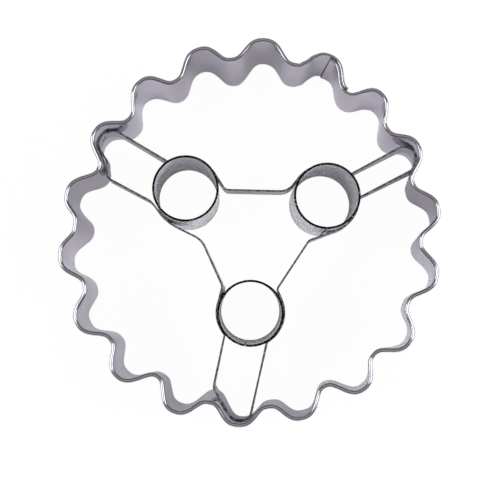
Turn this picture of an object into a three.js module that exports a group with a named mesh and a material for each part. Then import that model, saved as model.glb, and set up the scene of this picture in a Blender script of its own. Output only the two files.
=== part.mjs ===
// A linzer cookie cutter of formed sheet steel: a fluted band with a rolled rim, three small round
// cutters for the eyes, and one bent strip that carries them, all joined by spot welds.
// Millimetres, +Z up. The cutting edges lie in the plane z = 0 and the rolled rim is up.
// Plan angles are in degrees, counter-clockwise from +X.
import * as THREE from 'three';

// Fluted band
const bandHeight = 20;
const bandSheet = 0.3;
const bandRadius = 32.53; // mean radius of the inside face at the cutting edge
const fluteCount = 18;
const fluteDepth = 3.6; // crest to trough
const fluteFlattening = 0.07; // share of the third harmonic that rounds out crests and troughs
const firstCrest = 8; // plan angle of crest 0
const beadBore = 0.2; // what the rim is rolled round, flush with the inside face
const stepsPerFlute = 16;
const beadSteps = 9;

// How the pieces depart from true, as formed and welded
const armPull = 0.43; // how far the band is drawn in where the three arms are welded
const rimDraw = 0.2; // how far its rim is drawn in by the rolling
const edgeOval = new THREE.Vector2(0.19, 0.1); // stretch of its cutting edge along X and along the diagonal
const rimOval = new THREE.Vector2(-0.28, 0.3); // the same for its rim
const bandLean = new THREE.Vector2(-0.37, 0.14); // how far its rim lies beyond its cutting edge

// Crests whose rim is turned off the cutting edge below it, in degrees
const turnedCrests = [
  { crest: 3, turn: -1.1 },
  { crest: 16, turn: -0.9 },
];
const turnFlutes = 1.5; // how far such a turn spreads to each side, in flutes

// Troughs pressed too far or not far enough: how far out each lies at the cutting edge and at the rim
const unevenTroughs = [
  { trough: 0, edge: 0.3, rim: 0.15 },
  { trough: 1, edge: 0, rim: 0.35 },
  { trough: 4, edge: -0.45, rim: 0.35 },
  { trough: 7, edge: -0.3, rim: -0.35 },
  { trough: 8, edge: -0.15, rim: 1 },
  { trough: 11, edge: 0, rim: -0.7 },
  { trough: 12, edge: -0.8, rim: 0.3 },
  { trough: 13, edge: 0.5, rim: 0.5 },
  { trough: 14, edge: -0.3, rim: -0.4 },
  { trough: 15, edge: 0.6, rim: 0 },
  { trough: 17, edge: -0.4, rim: 0 },
];

// Lap of the band's two ends: the outer end stops in a trough, the inner end on the next crest
const lapCrest = 3; // crest where the inner end stops
const lapFlutes = 0.5; // length of the lap, in flutes
const lapEase = 0.5; // flutes over which the inner layer comes in under the outer end
const lapPinch = 0.7; // share of its width that the bead keeps along the lap
const lapRise = 0.35; // how far the outer layer stands out along the lap

// Eye rings
const ringDiameter = 12; // outside
const ringSheet = 0.4;
const ringHeight = 20;
const ringSteps = 40;
const eyeReach = 14.54; // mean distance of the rings from the axis

// Holder strip
const holderSheet = 0.35;
const holderHeight = 6;
const holderBase = 8; // height of its lower edge above the cutting plane
const wrapStep = 9; // degrees of ring for one step of the strip
const nestStep = 0.8; // degrees of band for one step of the strip
const legBend = 1; // bend radius where an arm leaves a ring or the band
const bendStep = 14; // degrees of bend for one step of the strip
const bendShare = 0.9; // most of a straight run that one bend may take

// Welds
const weldSize = 1.6; // side of a square spot
const weldThickness = 0.08; // between two sheets
const seamWidth = 0.18; // weld that closes an eye ring
const weldClearance = 0.06;
const lapWeldInset = 3; // distance of the two spots in the lap from the cutting edge and from the bead

// The three arms, counter-clockwise. The first is at this crest, and they share the flutes evenly.
// reach and swing place the eye ring: its distance from the axis and its angle off the arm's crest.
// lean is how far the ring's upper edge lies beyond its cutting edge, and seam its seam's angle off the arm.
// wrapIn and wrapOut are the stretches of ring that the strip grips, as angles off the arm.
// nest is the stretch of band that the arm follows, in flutes off the arm's crest.
// Heels are bends just beyond the nest, in flutes off the crest and at a depth inside the band.
// Knees are bends near the ring, at an angle off the arm and a distance outside the strip's line round it:
// at the bar before the ring, between the band and the ring, and at the bar after the ring.
const firstArmCrest = 1;
const arms = [
  {
    name: 'right',
    reach: eyeReach + 0.55,
    swing: 0.3,
    lean: new THREE.Vector2(0.49, -0.03),
    seam: -118,
    kneesBefore: [{ angle: -137.2, away: 2, bend: 1.2 }],
    wrapIn: [-96.5, -25],
    heelsIn: [],
    nest: [-0.26, 0.03],
    heelsOut: [{ flutes: 0.185, depth: 0.3, bend: 2 }],
    kneesOut: [],
    wrapOut: [18, 117.5],
    kneesAfter: [{ angle: 141.7, away: 0.6, bend: 3 }],
  },
  {
    name: 'left',
    reach: eyeReach,
    swing: -0.6,
    lean: new THREE.Vector2(0.4, 0.14),
    seam: 71,
    kneesBefore: [{ angle: -143.6, away: 1, bend: 1.2 }],
    wrapIn: [-113.5, -27],
    heelsIn: [{ flutes: -0.235, depth: 0.38, bend: 2 }],
    nest: [-0.1, 0.21],
    heelsOut: [
      { flutes: 0.322, depth: 0.62, bend: 1.8 },
      { flutes: 0.54, depth: 1, bend: 1.2 },
    ],
    kneesOut: [{ angle: 47.7, away: 0.53, bend: 2.3 }],
    wrapOut: [70, 82],
    kneesAfter: [
      { angle: 99.8, away: 0.31, bend: 6 },
      { angle: 141.1, away: 2.84, bend: 4 },
    ],
  },
  {
    name: 'bottom',
    reach: eyeReach - 0.57,
    swing: 2.3,
    lean: new THREE.Vector2(0.18, -0.73),
    seam: -6,
    kneesBefore: [{ angle: -129.4, away: 0.5, bend: 1.2 }],
    wrapIn: [-107.5, -46],
    heelsIn: [{ flutes: -0.515, depth: 1.7, bend: 1.6 }],
    nest: [-0.35, 0.18],
    heelsOut: [],
    kneesOut: [],
    wrapOut: [33, 117],
    kneesAfter: [{ angle: 133.9, away: 0.28, bend: 0.8 }],
  },
];

const { degToRad, radToDeg, smoothstep, lerp, euclideanModulo } = THREE.MathUtils;
const halfTurn = 180;
const fullTurn = 360;
const flutePitch = fullTurn / fluteCount;
const beadDiameter = 2 * bandSheet + beadBore;
const beadRadius = beadDiameter / 2;
const weldGap = weldThickness + 2 * weldClearance; // between two sheets that a spot joins
const seamGap = seamWidth + 2 * weldClearance;
const ringRadius = ringDiameter / 2;
const wrapRadius = ringRadius + weldGap + holderSheet / 2;
const holderTop = holderBase + holderHeight;
const holderMiddle = holderBase + holderHeight / 2;
const upright = new THREE.Vector2(0, 0);

const steel = new THREE.MeshStandardMaterial({ color: 0xa9a7b0, roughness: 0.32, metalness: 1 });
const weldedSteel = new THREE.MeshStandardMaterial({ color: 0x7c7a80, roughness: 0.55, metalness: 1 });

const cutter = new THREE.Group();

function addPiece(name, geometry, material = steel) {
  const mesh = new THREE.Mesh(geometry, material);
  mesh.name = name;
  cutter.add(mesh);
}

function polar(radius, angle) {
  return new THREE.Vector2(Math.cos(degToRad(angle)), Math.sin(degToRad(angle))).multiplyScalar(radius);
}

// Evenly spaced values from first to last, no further apart than step
function spread(first, last, step) {
  const count = Math.max(1, Math.ceil(Math.abs(last - first) / step));
  return Array.from({ length: count + 1 }, (_, i) => lerp(first, last, i / count));
}

// 1 at an angle, falling smoothly to 0 at a distance to either side
function nearness(angle, middle, distance) {
  const away = Math.abs(euclideanModulo(angle - middle + halfTurn, fullTurn) - halfTurn);
  return 1 - smoothstep(away, 0, distance);
}

// Plan of the band

function crestAngle(crest) {
  return firstCrest + crest * flutePitch;
}

function armAngle(arm) {
  const crestsOn = Math.round((arms.indexOf(arm) * fluteCount) / arms.length);
  return crestAngle(firstArmCrest + crestsOn);
}

function bandPoint(angle, height) {
  const rise = height / bandHeight;
  const wave = degToRad((angle - firstCrest) * fluteCount);
  const flute = (Math.cos(wave) - fluteFlattening * Math.cos(3 * wave)) / (1 - fluteFlattening);
  const pull = armPull * Math.cos(degToRad(arms.length * (angle - armAngle(arms[0]))));
  let radius = bandRadius + (fluteDepth / 2) * flute - pull - rimDraw * rise;
  for (const { trough, edge, rim } of unevenTroughs) {
    radius += lerp(edge, rim, rise) * nearness(angle, crestAngle(trough + 0.5), flutePitch / 2);
  }
  let turned = angle;
  for (const { crest, turn } of turnedCrests) {
    turned += turn * rise * nearness(angle, crestAngle(crest), turnFlutes * flutePitch);
  }
  const round = polar(radius, turned);
  const oval = edgeOval.clone().lerp(rimOval, rise).divideScalar(bandRadius);
  const stretch = new THREE.Vector2(oval.dot(round), oval.y * round.x - oval.x * round.y);
  return round.add(stretch).addScaledVector(bandLean, (height - holderMiddle) / bandHeight);
}

// Point on the band's inside line at the middle of the holder strip, with its outward normal and how far
// the rim lies beyond the cutting edge there
function bandStation(angle) {
  const nearby = 0.01;
  const ahead = bandPoint(angle + nearby, holderMiddle);
  const along = ahead.sub(bandPoint(angle - nearby, holderMiddle)).normalize();
  const point = bandPoint(angle, holderMiddle);
  const normal = new THREE.Vector2(along.y, -along.x);
  const lean = bandPoint(angle, bandHeight).sub(bandPoint(angle, 0));
  return { angle, point, normal, lean };
}

// Stations along a weld's length of band
function bandSpot(angle) {
  const ahead = bandPoint(angle + 0.5, holderMiddle);
  const half = weldSize / 2 / ahead.distanceTo(bandPoint(angle - 0.5, holderMiddle));
  return spread(angle - half, angle + half, half / 3).map(bandStation);
}

function circleStation(centre, radius, angle, lean = upright) {
  const normal = polar(1, angle);
  return { point: centre.clone().addScaledVector(normal, radius), normal, lean };
}

function shifted(station, distance) {
  return station.point.clone().addScaledVector(station.normal, distance);
}

// Strips

// Carries a closed section along a line of stations that runs counter-clockwise round the cutter. Section
// corners are [outward distance, height], counter-clockwise with the outside on the right. Each station's
// lean turns the section about the middle of the holder strip.
function formedStrip(stations, sectionAt, closed = false) {
  const positions = [];
  const triangles = [];
  const sections = stations.map((station) => sectionAt(station));
  const corners = sections[0].length;
  stations.forEach((station, i) => {
    for (const [distance, height] of sections[i]) {
      const leaning = (height - holderMiddle) / bandHeight;
      const place = shifted(station, distance).addScaledVector(station.lean, leaning);
      positions.push(place.x, place.y, height);
    }
  });
  const spans = closed ? stations.length : stations.length - 1;
  for (let i = 0; i < spans; i += 1) {
    const here = i * corners;
    const next = ((i + 1) % stations.length) * corners;
    for (let j = 0; j < corners; j += 1) {
      const k = (j + 1) % corners;
      triangles.push(here + j, next + j, here + k);
      triangles.push(here + k, next + j, next + k);
    }
  }
  if (!closed) {
    const outline = sections[0].map(([distance, height]) => new THREE.Vector2(distance, height));
    const last = (stations.length - 1) * corners;
    for (const [a, b, c] of THREE.ShapeUtils.triangulateShape(outline, [])) {
      triangles.push(a, b, c);
      triangles.push(last + a, last + c, last + b);
    }
  }
  const geometry = new THREE.BufferGeometry();
  geometry.setAttribute('position', new THREE.Float32BufferAttribute(positions, 3));
  geometry.setIndex(triangles);
  geometry.computeVertexNormals();
  return geometry;
}

function flatSection(inner, outer, bottom, top) {
  return [
    [inner, bottom],
    [outer, bottom],
    [outer, top],
    [inner, top],
  ];
}

// Fluted band with its rolled rim

// Wall and bead, with the wall's upper edge running into the bead's outer side
function bandSection(radius) {
  const neck = -radToDeg(Math.acos((bandSheet - radius) / radius));
  const bead = spread(neck, halfTurn, (halfTurn - neck) / beadSteps).map((angle) => {
    const { x, y } = polar(radius, angle);
    return [radius + x, bandHeight - radius + y];
  });
  return [[0, 0], [bandSheet, 0], ...bead];
}

const outerEnd = crestAngle(lapCrest) - lapFlutes * flutePitch;
const innerEnd = crestAngle(lapCrest) + fullTurn;

// How far apart the two layers lie at a height: by a sheet at the edge, by a pressed bead at the rim
function lapSpacing(height) {
  return lerp(bandSheet, lapPinch * beadDiameter, height / bandHeight) + weldGap;
}

// 1 along the outer layer of the lap and along the inner layer, easing to 0 beyond the lap
function onOuterLayer(angle) {
  const lapEnd = crestAngle(lapCrest);
  return 1 - smoothstep(angle, lapEnd, lapEnd + lapEase * flutePitch);
}

function onInnerLayer(angle) {
  return smoothstep(angle - fullTurn, outerEnd - lapEase * flutePitch, outerEnd);
}

// The band's section at a station. At the lap the outer layer stands out and the inner one stays under it.
function bandSectionAt({ angle }) {
  const inner = onInnerLayer(angle);
  const outer = onOuterLayer(angle);
  const section = bandSection(beadRadius * lerp(1, lapPinch, Math.max(inner, outer)));
  return section.map(([distance, height]) => {
    const shift = outer * lapRise + inner * (lapRise - lapSpacing(height));
    return [distance + shift, height];
  });
}

function bandGeometry() {
  const stations = spread(outerEnd, innerEnd, flutePitch / stepsPerFlute).map(bandStation);
  return formedStrip(stations, bandSectionAt);
}

addPiece('fluted_band', bandGeometry());

const lapWeldBases = [lapWeldInset, bandHeight - beadDiameter - lapWeldInset - weldSize];

for (const [i, base] of lapWeldBases.entries()) {
  const stations = bandSpot((outerEnd + crestAngle(lapCrest)) / 2);
  const outer = lapRise - weldClearance;
  const inner = lapRise - lapSpacing(base) + bandSheet + weldClearance;
  const spot = flatSection(inner, outer, base, base + weldSize);
  addPiece(`lap_weld_${i + 1}`, formedStrip(stations, () => spot), weldedSteel);
}

// Eye rings, each with its seam

function ringCentre(arm) {
  return polar(arm.reach, armAngle(arm) + arm.swing);
}

for (const arm of arms) {
  const centre = ringCentre(arm);
  const seam = armAngle(arm) + arm.seam;
  const middle = ringRadius - ringSheet / 2;
  const gapHalf = radToDeg(seamGap / 2 / middle);
  const angles = spread(seam + gapHalf, seam + fullTurn - gapHalf, fullTurn / ringSteps);
  const wall = flatSection(-ringSheet / 2, ringSheet / 2, 0, ringHeight);
  const station = (angle) => circleStation(centre, middle, angle, arm.lean);
  addPiece(`eye_ring_${arm.name}`, formedStrip(angles.map(station), () => wall));

  const weldHalf = radToDeg(seamWidth / 2 / middle);
  const weld = [seam - weldHalf, seam + weldHalf].map(station);
  addPiece(`ring_seam_${arm.name}`, formedStrip(weld, () => wall), weldedSteel);
}

// Holder strip

// Corners of the strip's middle line through one arm, each with its bend radius
function armCorners(arm) {
  const centre = ringCentre(arm);
  const facing = armAngle(arm);
  const corners = [];

  const corner = (point, bend) => {
    corners.push({ point, bend });
  };
  const run = (points, { first = 0, last = 0 }) => {
    const start = corners.length;
    points.forEach((point) => corner(point, 0));
    corners[start].bend = first;
    corners.at(-1).bend = last;
  };
  const knee = ({ angle, away, bend }) => {
    corner(circleStation(centre, wrapRadius + away, facing + angle).point, bend);
  };
  const heel = ({ flutes, depth, bend }) => {
    corner(shifted(bandStation(facing + flutes * flutePitch), -depth), bend);
  };
  const gripped = ([first, last]) =>
    spread(first, last, wrapStep).map((angle) => circleStation(centre, wrapRadius, facing + angle).point);
  const nestDepth = weldGap + holderSheet / 2;
  const nested = ([first, last]) =>
    spread(first * flutePitch, last * flutePitch, nestStep).map((angle) =>
      shifted(bandStation(facing + angle), -nestDepth),
    );

  arm.kneesBefore.forEach(knee);
  run(gripped(arm.wrapIn), { last: legBend });
  arm.heelsIn.forEach(heel);
  run(nested(arm.nest), {
    first: arm.heelsIn.length > 0 ? 0 : legBend,
    last: arm.heelsOut.length > 0 ? 0 : legBend,
  });
  arm.heelsOut.forEach(heel);
  arm.kneesOut.forEach(knee);
  run(gripped(arm.wrapOut), { first: arm.kneesOut.length > 0 ? 0 : legBend });
  arm.kneesAfter.forEach(knee);
  return corners;
}

// Replaces each corner that has a bend radius by an arc, which its neighbours' distance may limit
function bentLine(corners) {
  const points = [];
  corners.forEach(({ point, bend }, i) => {
    if (bend === 0) {
      points.push(point);
      return;
    }
    const before = corners.at(i - 1).point.clone().sub(point);
    const after = corners[(i + 1) % corners.length].point.clone().sub(point);
    const turn = Math.PI - before.angleTo(after);
    const room = bendShare * Math.min(before.length(), after.length());
    const trim = Math.min(bend * Math.tan(turn / 2), room);
    const start = point.clone().addScaledVector(before.normalize(), trim);
    const end = point.clone().addScaledVector(after.normalize(), trim);
    const inwards = before.add(after).normalize();
    const centre = point.clone().addScaledVector(inwards, trim / Math.sin(turn / 2));
    const radius = centre.distanceTo(start);
    for (const share of spread(0, 1, bendStep / radToDeg(turn))) {
      const chord = start.clone().lerp(end, share).sub(centre);
      points.push(chord.setLength(radius).add(centre));
    }
  });
  return points;
}

// Stations of a closed line, with normals lengthened at corners so that the sheet keeps its thickness
function closedStations(points) {
  return points.map((point, i) => {
    const before = point.clone().sub(points.at(i - 1)).normalize();
    const after = points[(i + 1) % points.length].clone().sub(point).normalize();
    const along = before.clone().add(after).normalize();
    const normal = new THREE.Vector2(along.y, -along.x).divideScalar(along.dot(before));
    return { point, normal, lean: upright };
  });
}

const holderLine = closedStations(bentLine(arms.flatMap(armCorners)));
const holderSection = flatSection(-holderSheet / 2, holderSheet / 2, holderBase, holderTop);
addPiece('holder_strip', formedStrip(holderLine, () => holderSection, true));

// Spot welds of the holder strip

const spotBase = holderMiddle - weldSize / 2;
const spotTop = holderMiddle + weldSize / 2;

for (const arm of arms) {
  const facing = armAngle(arm);
  const nestSpot = flatSection(weldClearance - weldGap, -weldClearance, spotBase, spotTop);
  addPiece(`arm_weld_${arm.name}`, formedStrip(bandSpot(facing), () => nestSpot), weldedSteel);

  const centre = ringCentre(arm);
  const half = radToDeg(weldSize / 2 / ringRadius);
  const ringSpot = flatSection(weldClearance, weldGap - weldClearance, spotBase, spotTop);
  for (const [i, wrap] of [arm.wrapIn, arm.wrapOut].entries()) {
    const middle = facing + (wrap[0] + wrap[1]) / 2;
    const angles = spread(middle - half, middle + half, half / 2);
    const stations = angles.map((angle) => circleStation(centre, ringRadius, angle));
    addPiece(`ring_weld_${arm.name}_${i + 1}`, formedStrip(stations, () => ringSpot), weldedSteel);
  }
}

// The axis of the part passes through the middle of its outline
const outlineMiddle = new THREE.Box3().setFromObject(cutter).getCenter(new THREE.Vector3());
cutter.position.set(-outlineMiddle.x, -outlineMiddle.y, 0);

export default cutter;
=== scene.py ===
import math

import bpy
import numpy as np
from mathutils import Matrix, Vector, noise


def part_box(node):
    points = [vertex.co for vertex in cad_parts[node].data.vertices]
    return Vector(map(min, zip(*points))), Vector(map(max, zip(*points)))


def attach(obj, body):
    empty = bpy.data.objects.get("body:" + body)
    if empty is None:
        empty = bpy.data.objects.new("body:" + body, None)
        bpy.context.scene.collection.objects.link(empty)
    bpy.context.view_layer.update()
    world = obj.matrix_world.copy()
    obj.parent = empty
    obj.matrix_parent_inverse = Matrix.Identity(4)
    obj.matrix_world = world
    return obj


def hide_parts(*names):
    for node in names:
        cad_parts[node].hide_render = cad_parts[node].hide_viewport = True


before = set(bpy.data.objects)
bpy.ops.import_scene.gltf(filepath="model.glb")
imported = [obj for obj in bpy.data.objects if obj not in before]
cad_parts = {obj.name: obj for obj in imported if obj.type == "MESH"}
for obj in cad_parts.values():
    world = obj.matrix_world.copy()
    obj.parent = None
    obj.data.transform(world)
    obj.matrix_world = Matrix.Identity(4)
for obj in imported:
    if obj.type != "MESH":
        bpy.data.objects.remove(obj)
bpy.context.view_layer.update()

MM = 0.001

# Fluted band
BAND_HEIGHT = 20 * MM
BAND_SHEET = 0.3 * MM
BAND_RADIUS = 32.53 * MM
FLUTE_COUNT = 18
FLUTE_DEPTH = 3.6 * MM
FLUTE_FLATTENING = 0.07
FIRST_CREST = 8
BEAD_BORE = 0.2 * MM

# How the band departs from true: drawn in at the arms and at the rim, out of round, leaning, and with
# crests turned and troughs pressed unevenly (how far out at the cutting edge and at the rim)
ARM_PULL = 0.43 * MM
RIM_DRAW = 0.2 * MM
EDGE_OVAL = np.array([0.19, 0.1]) * MM
RIM_OVAL = np.array([-0.28, 0.3]) * MM
BAND_LEAN = np.array([-0.37, 0.14]) * MM
TURNED_CRESTS = {3: -1.1, 16: -0.9}
TURN_FLUTES = 1.5
UNEVEN_TROUGHS = {0: (0.3, 0.15), 1: (0, 0.35), 4: (-0.45, 0.35), 7: (-0.3, -0.35), 8: (-0.15, 1),
                  11: (0, -0.7), 12: (-0.8, 0.3), 13: (0.5, 0.5), 14: (-0.3, -0.4), 15: (0.6, 0),
                  17: (-0.4, 0)}

# Lap of the band's ends
LAP_CREST = 3
LAP_FLUTES = 0.5
LAP_EASE = 0.5
LAP_PINCH = 0.7
LAP_RISE = 0.35 * MM

# Eye rings
RING_DIAMETER = 12 * MM
RING_SHEET = 0.4 * MM
RING_HEIGHT = 20 * MM
SEAM_GAP = 0.3 * MM

# Holder strip
HOLDER_SHEET = 0.35 * MM
HOLDER_HEIGHT = 6 * MM
HOLDER_BASE = 8 * MM
LEG_BEND = 1 * MM
# A bend takes up at most this share of the distance to the next corner
BEND_SHARE = 0.9

# Air between sheets that touch
TOUCH_GAP = 0.04 * MM

# Arms, counter-clockwise, in millimetres and degrees. reach and swing place the eye ring, by its
# distance from the axis and its angle off the arm's crest. lean is how far its upper edge lies beyond
# its cutting edge, and seam is its seam's angle. The strip grips the ring along wrap_in and wrap_out and
# follows the band along nest, in flutes off the crest, and print is the middle of the electrode's print
# there. Knees are bends near the ring: angle, distance outside the strip's line, bend radius and how far
# the strip's upper edge tips outwards. Heels are bends near the band: flutes off the crest, depth, bend
# radius and the same tip.
FIRST_ARM_CREST = 1
EYE_REACH = 14.54
ARMS = [
    dict(name="right", reach=EYE_REACH + 0.55, swing=0.3, lean=(0.49, -0.03), seam=-118, print=-0.1,
         knees_before=[(-137.2, 2, 1.2, 0)], wrap_in=(-96.5, -25), heels_in=[], nest=(-0.26, 0.03),
         heels_out=[(0.185, 0.14, 2, 0)], knees_out=[],
         wrap_out=(18, 117.5), knees_after=[(141.7, 0.6, 3, 0)]),
    dict(name="left", reach=EYE_REACH, swing=-0.6, lean=(0.4, 0.14), seam=71, print=-0.02,
         knees_before=[(-143.6, 1, 1.2, 0)], wrap_in=(-113.5, -27),
         heels_in=[(-0.235, 0.22, 2, 0)], nest=(-0.1, 0.21),
         heels_out=[(0.322, 0.62, 1.8, 0), (0.54, 1, 1.2, 0)], knees_out=[(47.7, 0.53, 2.3, 0)],
         wrap_out=(70, 82), knees_after=[(99.8, 0.31, 6, 0.2), (141.1, 2.84, 4, 0.42)]),
    dict(name="bottom", reach=EYE_REACH - 0.57, swing=2.3, lean=(0.18, -0.73), seam=-6, print=-0.08,
         knees_before=[(-129.4, 0.5, 1.2, 0.42)], wrap_in=(-107.5, -46),
         heels_in=[(-0.515, 1.7, 1.6, 0.42)], nest=(-0.35, 0.18),
         heels_out=[], knees_out=[], wrap_out=(33, 117), knees_after=[(133.9, 0.28, 0.8, 0)]),
]

FLUTE_PITCH = 360 / FLUTE_COUNT
BEAD_RADIUS = BAND_SHEET + BEAD_BORE / 2
RING_RADIUS = RING_DIAMETER / 2
WRAP_RADIUS = RING_RADIUS + TOUCH_GAP + HOLDER_SHEET / 2
HOLDER_TOP = HOLDER_BASE + HOLDER_HEIGHT
HOLDER_MIDDLE = HOLDER_BASE + HOLDER_HEIGHT / 2
UPRIGHT = np.zeros(2)

# Fineness of the meshes: steps along the sheets, rows up their walls and points round the rim's curl
BAND_STEP = FLUTE_PITCH / 36
RING_STEP = 2.5
WRAP_STEP = 3
NEST_STEP = 0.15
BEND_STEP = 6
LEG_STEP = 0.8 * MM
BAND_ROWS = 24
RING_ROWS = 8
HOLDER_ROWS = 37
BORE_POINTS = 12
CURL_POINTS = 26
SHARP_ANGLE = 40

# Material slots of a sheet
FACE = 0
EDGE = 1
PRINT_RIM = 2


# Plan of the cutter

def polar(radius, angle):
    angle = np.radians(angle)
    return np.stack([np.cos(angle), np.sin(angle)], -1) * np.asarray(radius)[..., None]


def spread(first, last, step):
    """Evenly spaced values from first to last, no further apart than step."""
    rounding = 1e-9
    count = max(1, math.ceil(abs(last - first) / step - rounding))
    return np.linspace(first, last, count + 1)


def crest_angle(crest):
    return FIRST_CREST + crest * FLUTE_PITCH


def arm_angle(arm):
    return crest_angle(FIRST_ARM_CREST + round(ARMS.index(arm) * FLUTE_COUNT / len(ARMS)))


def smoothstep(value, first, last):
    share = np.clip((value - first) / (last - first), 0, 1)
    return share * share * (3 - 2 * share)


def nearness(angle, middle, distance):
    """1 at an angle, falling smoothly to 0 at a distance to either side."""
    away = np.abs((angle - middle + 180) % 360 - 180)
    return 1 - smoothstep(away, 0, distance)


def band_point(angle, height):
    rise = height / BAND_HEIGHT
    wave = np.radians((angle - FIRST_CREST) * FLUTE_COUNT)
    flute = (np.cos(wave) - FLUTE_FLATTENING * np.cos(3 * wave)) / (1 - FLUTE_FLATTENING)
    pull = ARM_PULL * np.cos(np.radians(len(ARMS) * (angle - arm_angle(ARMS[0]))))
    radius = BAND_RADIUS + FLUTE_DEPTH / 2 * flute - pull - RIM_DRAW * rise
    for trough, (edge, rim) in UNEVEN_TROUGHS.items():
        out = (edge + (rim - edge) * rise) * MM
        radius = radius + out * nearness(angle, crest_angle(trough + 0.5), FLUTE_PITCH / 2)
    turned = angle
    for crest, turn in TURNED_CRESTS.items():
        turned = turned + turn * rise * nearness(angle, crest_angle(crest), TURN_FLUTES * FLUTE_PITCH)
    flat = polar(radius, turned)
    along, across = (EDGE_OVAL + (RIM_OVAL - EDGE_OVAL) * rise) / BAND_RADIUS
    oval = flat @ np.array([[along, across], [across, -along]])
    return flat + oval + BAND_LEAN * (height - HOLDER_MIDDLE) / BAND_HEIGHT


def band_stations(angles):
    """Points on the band's inside line at the middle of the holder strip, with their outward normals and
    how far the rim lies beyond the cutting edge."""
    nearby = 0.01
    angles = np.asarray(angles, float)
    along = band_point(angles + nearby, HOLDER_MIDDLE) - band_point(angles - nearby, HOLDER_MIDDLE)
    along /= np.linalg.norm(along, axis=-1, keepdims=True)
    normals = np.stack([along[..., 1], -along[..., 0]], -1)
    leans = band_point(angles, BAND_HEIGHT) - band_point(angles, 0)
    return band_point(angles, HOLDER_MIDDLE), normals, leans


def circle_stations(centre, radius, angles, lean=UPRIGHT):
    normals = polar(1, np.asarray(angles, float))
    return centre + normals * radius, normals, np.broadcast_to(lean, normals.shape)


def ring_centre(arm):
    return polar(arm["reach"] * MM, arm_angle(arm) + arm["swing"])


def ring_lean(arm):
    return np.array(arm["lean"]) * MM


def plan_shift():
    """How far the plan is moved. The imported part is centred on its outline, and the place of its first eye
    ring shows by how much."""
    low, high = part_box("eye_ring_" + ARMS[0]["name"])
    found = np.array((low + high) / 2)[:2]
    tilt = ring_lean(ARMS[0]) * (RING_HEIGHT / 2 - HOLDER_MIDDLE) / BAND_HEIGHT
    return found - ring_centre(ARMS[0]) - tilt


PLAN_SHIFT = plan_shift()


# Meshes

def strip(name, stations, sections, closed=False, edge_rows=(), edge_spans=()):
    """Carries a section along stations. sections has (outward distance, height) for each station and row.
    Stations may differ from row to row. The ends, and the faces that follow one of edge_rows or one of the
    stations in edge_spans, are in the edge's material slot."""
    points, normals, leans = (values if values.ndim == 3 else values[:, None] for values in stations)
    count, rows = sections.shape[:2]
    out, up = sections[..., 0], sections[..., 1]
    flat = points + normals * out[..., None]
    flat = flat + leans * ((up - HOLDER_MIDDLE) / BAND_HEIGHT)[..., None] + PLAN_SHIFT
    vertices = np.concatenate([flat, up[..., None]], -1).reshape(-1, 3)

    faces = []
    materials = []
    for i in range(count if closed else count - 1):
        here, there = i * rows, (i + 1) % count * rows
        for j in range(rows):
            k = (j + 1) % rows
            faces.append((here + j, there + j, there + k, here + k))
            materials.append(EDGE if j in edge_rows or i in edge_spans else FACE)
    if not closed:
        last = (count - 1) * rows
        faces.append(tuple(range(rows)))
        faces.append(tuple(last + j for j in reversed(range(rows))))
        materials += [EDGE, EDGE]

    mesh = bpy.data.meshes.new(name)
    mesh.from_pydata(vertices.tolist(), [], faces)
    mesh.polygons.foreach_set("material_index", materials)
    add_strip_map(mesh, points.mean(axis=1), sections, rows)
    mesh.shade_smooth()
    mesh.set_sharp_from_angle(angle=math.radians(SHARP_ANGLE))
    mesh.validate()
    piece = bpy.data.objects.new(name, mesh)
    bpy.context.scene.collection.objects.link(piece)
    return piece


def add_strip_map(mesh, points, sections, rows):
    """UV map in metres: along the strip, and round its section."""
    steps = np.linalg.norm(np.diff(points, axis=0), axis=1)
    along = np.concatenate([[0], np.cumsum(steps)])
    around = np.linalg.norm(np.diff(sections[0], axis=0), axis=1)
    around = np.concatenate([[0], np.cumsum(around)])
    layer = mesh.uv_layers.new(name="sheet")
    for polygon in mesh.polygons:
        for loop in polygon.loop_indices:
            vertex = mesh.loops[loop].vertex_index
            layer.data[loop].uv = along[vertex // rows], around[vertex % rows]


def same_section(section, count):
    return np.repeat(np.asarray(section, float)[None], count, axis=0)


def flat_section(inner, outer, bottom, top, wall_rows):
    """Section of a flat strip: up its outer face and down its inner face."""
    heights = np.linspace(bottom, top, wall_rows)
    outer_face = [(outer, height) for height in heights]
    inner_face = [(inner, height) for height in heights[::-1]]
    return outer_face + inner_face


def flat_edges(wall_rows):
    """Rows of a flat strip's section that its upper and its lower edge follow."""
    return [wall_rows - 1, 2 * wall_rows - 1]


def ride(piece, slot, *nodes):
    """Fixes a sheet to the one rigid body and hides the nodes that it stands for. slot is not used."""
    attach(piece, "root")
    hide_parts(*nodes)
    return piece


# Sheet of the band: drawn in and rippled below the rim. The layer under the lap has folds beside its end,
# which is slanted and sheared. The rim's curl stays open and falls away to the outside.

OUTER_END = crest_angle(LAP_CREST) - LAP_FLUTES * FLUTE_PITCH
INNER_END = crest_angle(LAP_CREST) + 360
BOW_DEPTH = 0.08 * MM
BOW_HEIGHT = 15 * MM
RIPPLE_DEPTH = 0.1 * MM
RIPPLE_LENGTH = 2.2 * MM
RIPPLE_HEIGHT = 30 * MM
WRINKLE_DEPTH = 0.05 * MM
WRINKLE_PITCH = 2.3
WRINKLE_SLANT = 12 * MM
WRINKLE_REACH = 6
END_SLANT = 1.4
SHEAR_LENGTH = 0.3
SHEAR_DEPTH = 0.22 * MM
CURL_END = 262
CURL_SLOPE = 0.1


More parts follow.
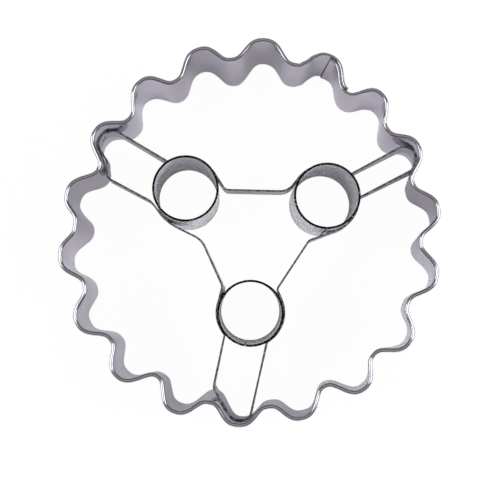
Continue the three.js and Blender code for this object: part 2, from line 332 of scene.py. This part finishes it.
def curl_section(radius):
    """Wall that runs up into a curl: outer face, then the curl's bore, tip and outside, then inner face."""
    centre = np.array([radius, BAND_HEIGHT - radius])
    bore = centre + polar(BEAD_BORE / 2, np.linspace(180, CURL_END - 360, BORE_POINTS))
    outside = centre + polar(radius, np.linspace(CURL_END - 360, 180, CURL_POINTS))
    for curl in bore, outside:
        curl[:, 1] -= CURL_SLOPE * curl[:, 0] ** 2 / (2 * radius)
    heights = np.linspace(0, BAND_HEIGHT - radius, BAND_ROWS)[:-1]
    outer_face = np.array([(BAND_SHEET, height) for height in heights])
    inner_face = np.array([(0, height) for height in heights[::-1]])
    return np.concatenate([outer_face, bore, outside, inner_face])


def on_inner_layer(angles):
    """1 along the layer under the lap, easing to 0 before it."""
    return smoothstep(angles - 360, OUTER_END - LAP_EASE * FLUTE_PITCH, OUTER_END)


def on_outer_layer(angles):
    """1 along the layer over the lap, easing to 0 beyond it."""
    lap_end = crest_angle(LAP_CREST)
    return 1 - smoothstep(angles, lap_end, lap_end + LAP_EASE * FLUTE_PITCH)


def lap_shift(angles, heights):
    """At the lap the outer layer stands out and the inner one stays under it."""
    pressed_bead = LAP_PINCH * 2 * BEAD_RADIUS
    spacing = BAND_SHEET + (pressed_bead - BAND_SHEET) * heights / BAND_HEIGHT + TOUCH_GAP
    inner = on_inner_layer(angles)[:, None]
    outer = on_outer_layer(angles)[:, None]
    return outer * LAP_RISE + inner * (LAP_RISE - spacing)


def sheet_bow(heights):
    """Below the rolled rim the wall is drawn in a little."""
    rise = smoothstep(heights, 0, BOW_HEIGHT) * (1 - smoothstep(heights, BOW_HEIGHT, BAND_HEIGHT))
    return -BOW_DEPTH * rise


def ripple(points, heights):
    """Unevenness of the formed sheet at each station and height, which ends below the rim."""
    result = np.empty(heights.shape)
    for i, (x, y) in enumerate(points / RIPPLE_LENGTH):
        for j, z in enumerate(heights[i] / RIPPLE_HEIGHT):
            result[i, j] = noise.noise((x, y, z))
    return RIPPLE_DEPTH * result * (1 - smoothstep(heights, BOW_HEIGHT, BAND_HEIGHT))


def lap_wrinkles(angles, heights):
    """Slanting folds beside the end of the layer under the lap."""
    away = angles[:, None] - crest_angle(LAP_CREST)
    folds = np.sin(2 * math.pi * (away / WRINKLE_PITCH - heights / WRINKLE_SLANT))
    return WRINKLE_DEPTH * folds * nearness(away, WRINKLE_REACH, WRINKLE_REACH)


def make_band():
    angles = np.append(spread(OUTER_END, INNER_END - SHEAR_LENGTH, BAND_STEP), INNER_END)
    pressed = np.maximum(on_inner_layer(angles), on_outer_layer(angles))
    radii = BEAD_RADIUS * (1 + (LAP_PINCH - 1) * pressed)
    sections = np.array([curl_section(radius) for radius in radii])
    heights = sections[..., 1].copy()
    middles = band_point(angles, HOLDER_MIDDLE)
    sections[..., 0] += lap_shift(angles, heights) + sheet_bow(heights) + ripple(middles, heights)
    sections[..., 0] += lap_wrinkles(angles, heights)
    slant = END_SLANT * smoothstep(angles, INNER_END - FLUTE_PITCH / 2, INNER_END)[:, None]
    stations = band_stations(angles[:, None] + slant * (1 - heights / BAND_HEIGHT))
    inner_face = slice(1 - BAND_ROWS, None)
    sections[-1, inner_face, 0] += SHEAR_DEPTH
    cutting_edge = sections.shape[1] - 1
    # The sheared end face takes the dark edge colour, which is painted shade of the gap at the lap's end
    sheared_end_painted_shade = len(angles) - 2
    piece = strip("fluted_band_sheet", stations, sections, edge_rows=[cutting_edge],
                  edge_spans=[sheared_end_painted_shade])
    return ride(piece, "band_steel", "fluted_band")


# Sheets of the eye rings

def make_ring(arm):
    middle = RING_RADIUS - RING_SHEET / 2
    half = math.degrees(SEAM_GAP / 2 / middle)
    seam = arm_angle(arm) + arm["seam"]
    angles = spread(seam + half, seam + 360 - half, RING_STEP)
    section = flat_section(-RING_SHEET / 2, RING_SHEET / 2, 0, RING_HEIGHT, RING_ROWS)
    sections = same_section(section, len(angles))
    stations = circle_stations(ring_centre(arm), middle, angles, ring_lean(arm))
    piece = strip("eye_ring_sheet_" + arm["name"], stations, sections, edge_rows=flat_edges(RING_ROWS))
    return ride(piece, "ring_steel", "eye_ring_" + arm["name"])


# Sheet of the holder strip

PRINT_LENGTH = 1 * MM
PRINT_HEIGHT = 2.5 * MM
PRINT_DEPTH = 0.08 * MM
PRINT_EDGE = 0.15 * MM
# Shares of a print's depth between which its rim lies
RIM_SHARES = (0.02, 0.98)


def arm_corners(arm):
    """Corners of the strip's middle line through one arm: point, lean and bend radius."""
    centre = ring_centre(arm)
    facing = arm_angle(arm)
    corners = []

    def run(stations, out, first=0, last=0):
        points, normals, leans = stations
        bends = [0] * len(points)
        bends[0] = first
        bends[-1] = last
        corners.extend(zip(points + normals * out, leans, bends))

    def bend_at(station, out, bend, tip):
        point, normal, lean = station
        if tip:
            lean = normal * tip * MM * BAND_HEIGHT / HOLDER_HEIGHT
        corners.append((point + normal * out, lean, bend * MM))

    def knee(angle, away, bend, tip):
        bend_at(circle_stations(centre, WRAP_RADIUS, facing + angle), away * MM, bend, tip)

    def heel(flutes, depth, bend, tip):
        bend_at(band_stations(facing + flutes * FLUTE_PITCH), -depth * MM, bend, tip)

    def grip(stretch, first=0, last=0):
        angles = facing + spread(*stretch, WRAP_STEP)
        run(circle_stations(centre, WRAP_RADIUS, angles, ring_lean(arm)), 0, first, last)

    def nest(stretch, first, last):
        angles = facing + spread(stretch[0] * FLUTE_PITCH, stretch[1] * FLUTE_PITCH, NEST_STEP)
        run(band_stations(angles), -TOUCH_GAP - HOLDER_SHEET / 2, first, last)

    for bend in arm["knees_before"]:
        knee(*bend)
    grip(arm["wrap_in"], last=LEG_BEND)
    for bend in arm["heels_in"]:
        heel(*bend)
    nest(arm["nest"], 0 if arm["heels_in"] else LEG_BEND, 0 if arm["heels_out"] else LEG_BEND)
    for bend in arm["heels_out"]:
        heel(*bend)
    for bend in arm["knees_out"]:
        knee(*bend)
    grip(arm["wrap_out"], first=0 if arm["knees_out"] else LEG_BEND)
    for bend in arm["knees_after"]:
        knee(*bend)
    return corners


def bent_line(corners):
    """Points of a closed line with their leans, in four columns. Each corner that has a bend radius becomes
    an arc, which its neighbours' distance may limit."""
    rows = []
    for i, (point, lean, bend) in enumerate(corners):
        if not bend:
            rows.append((*point, *lean))
            continue
        before = corners[i - 1][0] - point
        after = corners[(i + 1) % len(corners)][0] - point
        reach = BEND_SHARE * min(np.linalg.norm(before), np.linalg.norm(after))
        before = before / np.linalg.norm(before)
        after = after / np.linalg.norm(after)
        turn = math.pi - math.acos(np.clip(before @ after, -1, 1))
        trim = min(bend * math.tan(turn / 2), reach)
        start, end = point + before * trim, point + after * trim
        inwards = (before + after) / np.linalg.norm(before + after)
        centre = point + inwards * trim / math.sin(turn / 2)
        radius = np.linalg.norm(start - centre)
        for share in spread(0, 1, BEND_STEP / math.degrees(turn)):
            chord = start + (end - start) * share - centre
            rows.append((*(centre + chord * radius / np.linalg.norm(chord)), *lean))
    return np.array(rows)


def finer(rows):
    """Adds points along the straight runs of a closed line."""
    result = []
    for row, following in zip(rows, np.roll(rows, -1, axis=0)):
        count = max(1, math.ceil(np.linalg.norm((following - row)[:2]) / LEG_STEP))
        shares = np.arange(count)[:, None] / count
        result.append(row + (following - row) * shares)
    return np.concatenate(result)


def closed_stations(rows):
    """Stations of a closed line, with longer normals at corners so that the sheet keeps its thickness."""
    points, leans = rows[:, :2], rows[:, 2:]
    before = points - np.roll(points, 1, axis=0)
    after = np.roll(points, -1, axis=0) - points
    before /= np.linalg.norm(before, axis=1, keepdims=True)
    after /= np.linalg.norm(after, axis=1, keepdims=True)
    along = before + after
    along /= np.linalg.norm(along, axis=1, keepdims=True)
    normals = np.stack([along[:, 1], -along[:, 0]], -1)
    return points, normals / (along * before).sum(1, keepdims=True), leans


def electrode_prints(points, heights):
    """Shallow oblong pockets that the welding electrode left in the strip where it nests in the band."""
    def pocket(away, size):
        return 1 - smoothstep(away, size / 2 - PRINT_EDGE, size / 2)

    depth = np.zeros((len(points), len(heights)))
    for arm in ARMS:
        point, normal, _ = band_stations(arm_angle(arm) + arm["print"] * FLUTE_PITCH)
        centre = point - normal * (TOUCH_GAP + HOLDER_SHEET / 2)
        along = np.linalg.norm(points - centre, axis=1)[:, None]
        up = np.abs(heights - HOLDER_MIDDLE)[None]
        depth += PRINT_DEPTH * pocket(along, PRINT_LENGTH) * pocket(up, PRINT_HEIGHT)
    return depth


def make_holder():
    corners = [corner for arm in ARMS for corner in arm_corners(arm)]
    line = finer(bent_line(corners))
    section = flat_section(-HOLDER_SHEET / 2, HOLDER_SHEET / 2, HOLDER_BASE, HOLDER_TOP, HOLDER_ROWS)
    sections = same_section(section, len(line))
    prints = electrode_prints(line[:, :2], sections[0, HOLDER_ROWS:, 1])
    sections[:, HOLDER_ROWS:, 0] += prints
    piece = strip("holder_strip_sheet", closed_stations(line), sections, closed=True,
                  edge_rows=flat_edges(HOLDER_ROWS))
    share = prints / PRINT_DEPTH
    shallowest, deepest = RIM_SHARES
    for station, row in zip(*np.nonzero((share > shallowest) & (share < deepest))):
        inner_face = station * 2 * HOLDER_ROWS + HOLDER_ROWS
        piece.data.polygons[inner_face + row].material_index = PRINT_RIM
    return ride(piece, "strip_steel", "holder_strip")


# Materials

GRAZING_TINT = (0.95, 0.92, 1)
BUMP_DEPTH = 0.02 * MM
# Rolled steel: grain along and across the strip and blotches, per metre
GRAIN_SCALE = (250, 9000, 1)
GRAIN_DETAIL = 4
BLOTCH_SCALE = 450
BLOTCH_DETAIL = 3
BLOTCH_SHARE = 0.5
TONE_START = 0.3
TONE_STOP = 0.7
ROUGHNESS_SPREAD = 0.05
# Torn steel
TORN_DETAIL = 2
TORN_BUMP = 0.3


def node_tree(name):
    material = bpy.data.materials.new(name)
    material.use_nodes = True
    return material, material.node_tree.nodes, material.node_tree.links


def noise_texture(nodes, links, place, scale, detail):
    texture = nodes.new("ShaderNodeTexNoise")
    texture.inputs["Scale"].default_value = scale
    texture.inputs["Detail"].default_value = detail
    links.new(place, texture.inputs["Vector"])
    return texture.outputs["Fac"]


def tone_ramp(nodes, links, value, start, dark, stop, light):
    tone = nodes.new("ShaderNodeValToRGB")
    first, last = tone.color_ramp.elements
    first.position = start
    first.color = (*dark, 1)
    last.position = stop
    last.color = (*light, 1)
    links.new(value, tone.inputs["Fac"])
    return tone.outputs["Color"]


def add_bump(nodes, links, height, strength):
    bump = nodes.new("ShaderNodeBump")
    bump.inputs["Strength"].default_value = strength
    bump.inputs["Distance"].default_value = BUMP_DEPTH
    links.new(height, bump.inputs["Height"])
    links.new(bump.outputs["Normal"], nodes["Principled BSDF"].inputs["Normal"])


def steel(name, dark, light, roughness, grain, metallic=1):
    """Rolled sheet: a fine grain along the strip, faint blotches, and roughness that follows both."""
    material, nodes, links = node_tree(name)
    shader = nodes["Principled BSDF"]
    shader.inputs["Metallic"].default_value = metallic
    shader.inputs["Specular Tint"].default_value = (*GRAZING_TINT, 1)
    place = nodes.new("ShaderNodeTexCoord")
    stretch = nodes.new("ShaderNodeMapping")
    stretch.inputs["Scale"].default_value = GRAIN_SCALE
    links.new(place.outputs["UV"], stretch.inputs["Vector"])
    fine = noise_texture(nodes, links, stretch.outputs["Vector"], 1, GRAIN_DETAIL)
    blotch = noise_texture(nodes, links, place.outputs["Object"], BLOTCH_SCALE, BLOTCH_DETAIL)
    both = nodes.new("ShaderNodeMix")
    both.inputs["Factor"].default_value = BLOTCH_SHARE
    links.new(fine, both.inputs["A"])
    links.new(blotch, both.inputs["B"])
    tone = tone_ramp(nodes, links, both.outputs["Result"], TONE_START, dark, TONE_STOP, light)
    links.new(tone, shader.inputs["Base Color"])
    rough = nodes.new("ShaderNodeMapRange")
    rough.inputs["From Min"].default_value = TONE_START
    rough.inputs["From Max"].default_value = TONE_STOP
    rough.inputs["To Min"].default_value = roughness - ROUGHNESS_SPREAD
    rough.inputs["To Max"].default_value = roughness + ROUGHNESS_SPREAD
    links.new(both.outputs["Result"], rough.inputs["Value"])
    links.new(rough.outputs["Result"], shader.inputs["Roughness"])
    add_bump(nodes, links, fine, grain)
    return material


def broken(name, dark, light, grains, start, stop, roughness):
    """Sheared edge or weld: dark, with light grains where the steel was torn or burnished. grains is their
    number per millimetre."""
    material, nodes, links = node_tree(name)
    shader = nodes["Principled BSDF"]
    shader.inputs["Metallic"].default_value = 1
    shader.inputs["Specular Tint"].default_value = (*GRAZING_TINT, 1)
    shader.inputs["Roughness"].default_value = roughness
    place = nodes.new("ShaderNodeTexCoord")
    grain = noise_texture(nodes, links, place.outputs["Object"], grains / MM, TORN_DETAIL)
    tone = tone_ramp(nodes, links, grain, start, dark, stop, light)
    links.new(tone, shader.inputs["Base Color"])
    add_bump(nodes, links, grain, TORN_BUMP)
    return material


# Stage

FLOOR_HALF = 1.5
FLOOR_DROP = 0.02 * MM
PAPER = (0.9, 0.9, 0.9)
# The floor's glow is even out to POOL_START and falls to POOL_FADE at POOL_END. The camera sees nearly all
# of it, and reflections a little.
POOL_START = 0.07
POOL_END = 0.25
POOL_FADE = 0.5
SEEN_GLOW = 0.97
MIRRORED_GLOW = 0.14
# The studio's walls go over into its ceiling between these heights on a sphere of radius 1. It lights the
# scene with the share STUDIO_LIGHT of what the steel mirrors.
WALLS = (0.12, 0.118, 0.122)
WALLS_END = 0.7
CEILING = (0.4, 0.395, 0.405)
CEILING_START = 0.9
STUDIO_LIGHT = 0.15
# Lamps: azimuth, angle from the vertical, and glow. The steel mirrors the softboxes but not the floor lamps.
LAMP_DISTANCE = 0.6
POWER_PER_GLOW = 4
SOFTBOX_SIZE = 0.35
SOFTBOXES = {"right": (0, 45, 2.4), "left": (180, 45, 2.4)}
FLOOR_LAMP_SIZE = 0.25
FLOOR_LAMPS = {"low_right": (0, 62, 8.3), "low_back_right": (45, 62, 2.7), "low_back": (90, 62, 2.7),
               "low_back_left": (135, 62, 2.9), "low_front_right": (315, 62, 5.2),
               "high_back": (90, 40, 2.3), "high_left": (180, 40, 3.5), "high_front": (270, 40, 1.6)}
# Camera, fitted to the photograph. Its turns about x, y and z are in radians, its sensor in millimetres.
IMAGE_WIDTH = 500
FOCAL_PIXELS = 1450
SENSOR_WIDTH = 36
NEAR_LIMIT = 10 * MM
CAMERA_AIM = np.array([-0.2926, -1.0827]) * MM
CAMERA_TARGET = Vector((*(PLAN_SHIFT + CAMERA_AIM), BAND_HEIGHT / 2))
CAMERA_DISTANCE = 270.4 * MM
CAMERA_TURNS = (0.0612, 0.0079, 0.0226)


def make_floor():
    """White paper that glows in a pool round the cutter."""
    mesh = bpy.data.meshes.new("floor")
    signs = [(-1, -1), (1, -1), (1, 1), (-1, 1)]
    corners = [(x * FLOOR_HALF, y * FLOOR_HALF, 0) for x, y in signs]
    mesh.from_pydata(corners, [], [(0, 1, 2, 3)])
    floor = bpy.data.objects.new("floor", mesh)
    floor.location.z = -FLOOR_DROP
    bpy.context.scene.collection.objects.link(floor)
    material, nodes, links = node_tree("paper")
    nodes.remove(nodes["Principled BSDF"])
    place = nodes.new("ShaderNodeTexCoord")
    away = nodes.new("ShaderNodeVectorMath")
    away.operation = "LENGTH"
    links.new(place.outputs["Object"], away.inputs[0])
    pool = nodes.new("ShaderNodeMapRange")
    pool.interpolation_type = "SMOOTHSTEP"
    pool.inputs["From Min"].default_value = POOL_START
    pool.inputs["From Max"].default_value = POOL_END
    pool.inputs["To Min"].default_value = 1
    pool.inputs["To Max"].default_value = POOL_FADE
    links.new(away.outputs["Value"], pool.inputs["Value"])
    paper = nodes.new("ShaderNodeBsdfDiffuse")
    paper.inputs["Color"].default_value = (*PAPER, 1)
    glow = nodes.new("ShaderNodeEmission")
    links.new(pool.outputs["Result"], glow.inputs["Color"])
    path = nodes.new("ShaderNodeLightPath")
    mirrored = nodes.new("ShaderNodeMath")
    mirrored.operation = "MAXIMUM"
    links.new(path.outputs["Is Glossy Ray"], mirrored.inputs[0])
    links.new(path.outputs["Is Transmission Ray"], mirrored.inputs[1])
    reflected = nodes.new("ShaderNodeMath")
    reflected.operation = "MULTIPLY"
    reflected.inputs[1].default_value = MIRRORED_GLOW
    links.new(mirrored.outputs[0], reflected.inputs[0])
    share = nodes.new("ShaderNodeMath")
    share.operation = "MULTIPLY_ADD"
    share.inputs[1].default_value = SEEN_GLOW
    links.new(path.outputs["Is Camera Ray"], share.inputs[0])
    links.new(reflected.outputs[0], share.inputs[2])
    both = nodes.new("ShaderNodeMixShader")
    links.new(share.outputs[0], both.inputs["Fac"])
    links.new(paper.outputs[0], both.inputs[1])
    links.new(glow.outputs[0], both.inputs[2])
    links.new(both.outputs[0], nodes["Material Output"].inputs["Surface"])
    mesh.materials.append(material)


def make_world():
    """Grey studio with a lighter ceiling, which metal mirrors more than it lights the floor."""
    world = bpy.data.worlds.new("studio")
    world.use_nodes = True
    nodes, links = world.node_tree.nodes, world.node_tree.links
    background = nodes["Background"]
    place = nodes.new("ShaderNodeTexCoord")
    split = nodes.new("ShaderNodeSeparateXYZ")
    links.new(place.outputs["Generated"], split.inputs[0])
    tone = tone_ramp(nodes, links, split.outputs["Z"], WALLS_END, WALLS, CEILING_START, CEILING)
    links.new(tone, background.inputs["Color"])
    path = nodes.new("ShaderNodeLightPath")
    share = nodes.new("ShaderNodeMapRange")
    share.inputs["To Min"].default_value = STUDIO_LIGHT
    share.inputs["To Max"].default_value = 1
    links.new(path.outputs["Is Glossy Ray"], share.inputs["Value"])
    links.new(share.outputs["Result"], background.inputs["Strength"])
    bpy.context.scene.world = world


def make_lamp(name, size, azimuth, zenith, glow):
    """Square lamp that faces the cutter, with a radiance of about glow."""
    light = bpy.data.lights.new(name, "AREA")
    light.shape = "SQUARE"
    light.size = size
    light.energy = POWER_PER_GLOW * size ** 2 * glow
    lamp = bpy.data.objects.new(name, light)
    across, up = polar(LAMP_DISTANCE, 90 - zenith)
    lamp.location = (*polar(across, azimuth), up)
    lamp.rotation_euler = (-lamp.location).to_track_quat("-Z", "Y").to_euler()
    bpy.context.scene.collection.objects.link(lamp)
    return lamp


def make_lamps():
    for side, place in SOFTBOXES.items():
        make_lamp(side + "_softbox", SOFTBOX_SIZE, *place)
    for side, place in FLOOR_LAMPS.items():
        lamp = make_lamp(side + "_lamp", FLOOR_LAMP_SIZE, *place)
        lamp.visible_glossy = False


def make_camera():
    lens = bpy.data.cameras.new("camera")
    lens.sensor_width = SENSOR_WIDTH
    lens.lens = SENSOR_WIDTH * FOCAL_PIXELS / IMAGE_WIDTH
    lens.clip_start = NEAR_LIMIT
    camera = bpy.data.objects.new("camera", lens)
    turn = Matrix.Identity(4)
    for angle, axis in zip(CAMERA_TURNS, "XYZ"):
        turn = turn @ Matrix.Rotation(angle, 4, axis)
    back = turn.to_3x3().col[2]
    camera.matrix_world = Matrix.Translation(CAMERA_TARGET + back * CAMERA_DISTANCE) @ turn
    bpy.context.scene.collection.objects.link(camera)
    bpy.context.scene.camera = camera


# The dressed cutter on its stage

SHEET = steel("sheet_steel", dark=(0.58, 0.56, 0.61), light=(0.68, 0.66, 0.71), roughness=0.1, grain=0.015)
STRIP_STEEL = steel("strip_steel", dark=(0.34, 0.33, 0.36), light=(0.44, 0.43, 0.46), roughness=0.22,
                    grain=0.05)
RING_STEEL = steel("ring_steel", dark=(0.6, 0.585, 0.62), light=(0.9, 0.885, 0.92), roughness=0.25,
                   grain=0.25, metallic=0.45)
# Dark cut edges. On the band's sheared lap end this dark colour is painted shade of the gap between the
# layers.
CUT_EDGE_AND_GAP_SHADE = broken("cut_edge_and_gap_shade", dark=(0.1, 0.1, 0.105), light=(0.5, 0.49, 0.51), grains=1.5,
                  start=0.4, stop=0.75, roughness=0.4)
RING_EDGE = broken("ring_edge", dark=(0.008, 0.008, 0.009), light=(0.45, 0.44, 0.46), grains=2.5,
                   start=0.58, stop=0.72, roughness=0.4)
WELD = broken("weld", dark=(0.06, 0.058, 0.06), light=(0.25, 0.24, 0.25), grains=2,
              start=0.35, stop=0.7, roughness=0.5)


def dress(piece, *materials):
    for material in materials:
        piece.data.materials.append(material)


dress(make_band(), SHEET, CUT_EDGE_AND_GAP_SHADE)
for arm in ARMS:
    dress(make_ring(arm), RING_STEEL, RING_EDGE)
dress(make_holder(), STRIP_STEEL, CUT_EDGE_AND_GAP_SHADE, WELD)
# The nodes that no sheet stands for are the welds
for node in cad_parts.values():
    if not node.hide_render:
        node.data.materials.clear()
        dress(node, WELD)

make_floor()
make_world()
make_lamps()
make_camera()
bpy.context.scene.view_settings.view_transform = "Standard"
